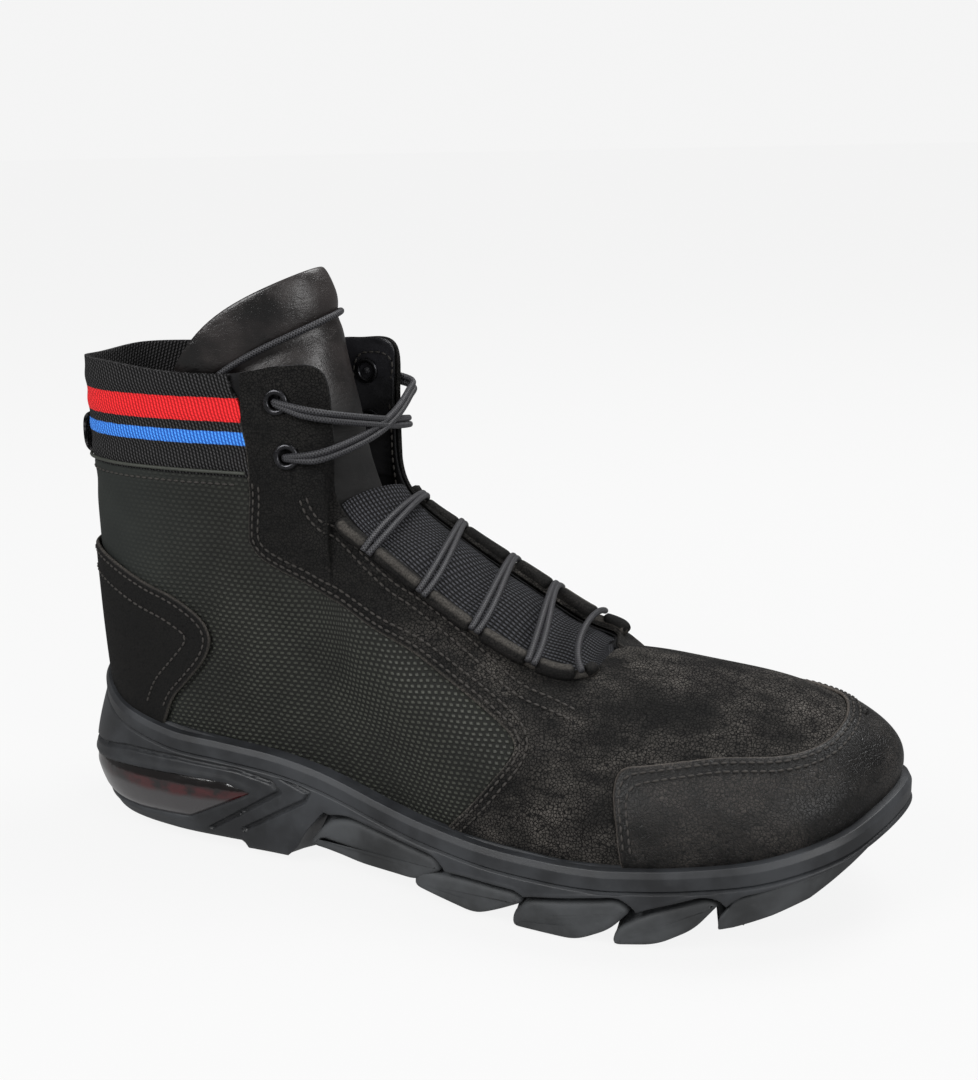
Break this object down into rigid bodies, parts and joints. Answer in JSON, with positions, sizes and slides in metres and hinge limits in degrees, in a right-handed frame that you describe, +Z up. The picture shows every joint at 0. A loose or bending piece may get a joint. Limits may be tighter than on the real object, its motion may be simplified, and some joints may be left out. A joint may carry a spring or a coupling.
{
  "type": "high-top boot",
  "caption": "Right-foot high-top boot with a hollow upper, lace throat, padded tongue, elastic collar band, lugged moulded sole and see-through heel cushion.",
  "frame": {"origin": "on the ground under the middle of the boot's own box", "axes": "+X along the boot to the toe, +Y to the inner side of the foot, +Z up"},
  "size_m": [0.2992, 0.1106, 0.2025],
  "materials": {
    "sole_rubber": "semi-matte charcoal moulded rubber",
    "cushion": "glossy see-through dark red plastic",
    "nubuck": "black nubuck with greyer worn edges",
    "grain_leather": "worn black grained leather",
    "smooth_leather": "smooth dark brown-grey leather with a soft shine",
    "webbing": "black ribbed elastic webbing with a red and a blue stripe",
    "mesh_cloth": "dark grey knitted mesh",
    "cord": "dark grey round elastic cord",
    "gunmetal": "dark gunmetal"
  },
  "bodies": {
    "root": {"midsole": "sole_rubber", "outsole": "sole_rubber", "heel_cushion": "cushion", "upper": "nubuck", "cuff": "webbing", "toe_cap": "grain_leather", "heel_counter": "nubuck", "throat_roll_outer": "nubuck", "throat_roll_inner": "nubuck", "gusset": "mesh_cloth", "tongue": "smooth_leather", "insole": "webbing", "pull_loop": "webbing", "eyelet_outer_top": "gunmetal", "eyelet_outer_low": "gunmetal", "eyelet_inner_top": "gunmetal", "eyelet_inner_low": "gunmetal", "lace_bar_1": "cord", "lace_bar_2": "cord", "lace_bar_3": "cord", "lace_bar_4": "cord", "lace_bar_5": "cord", "lace_crossing": "cord", "tongue_cord": "cord"}
  },
  "joints": []
}
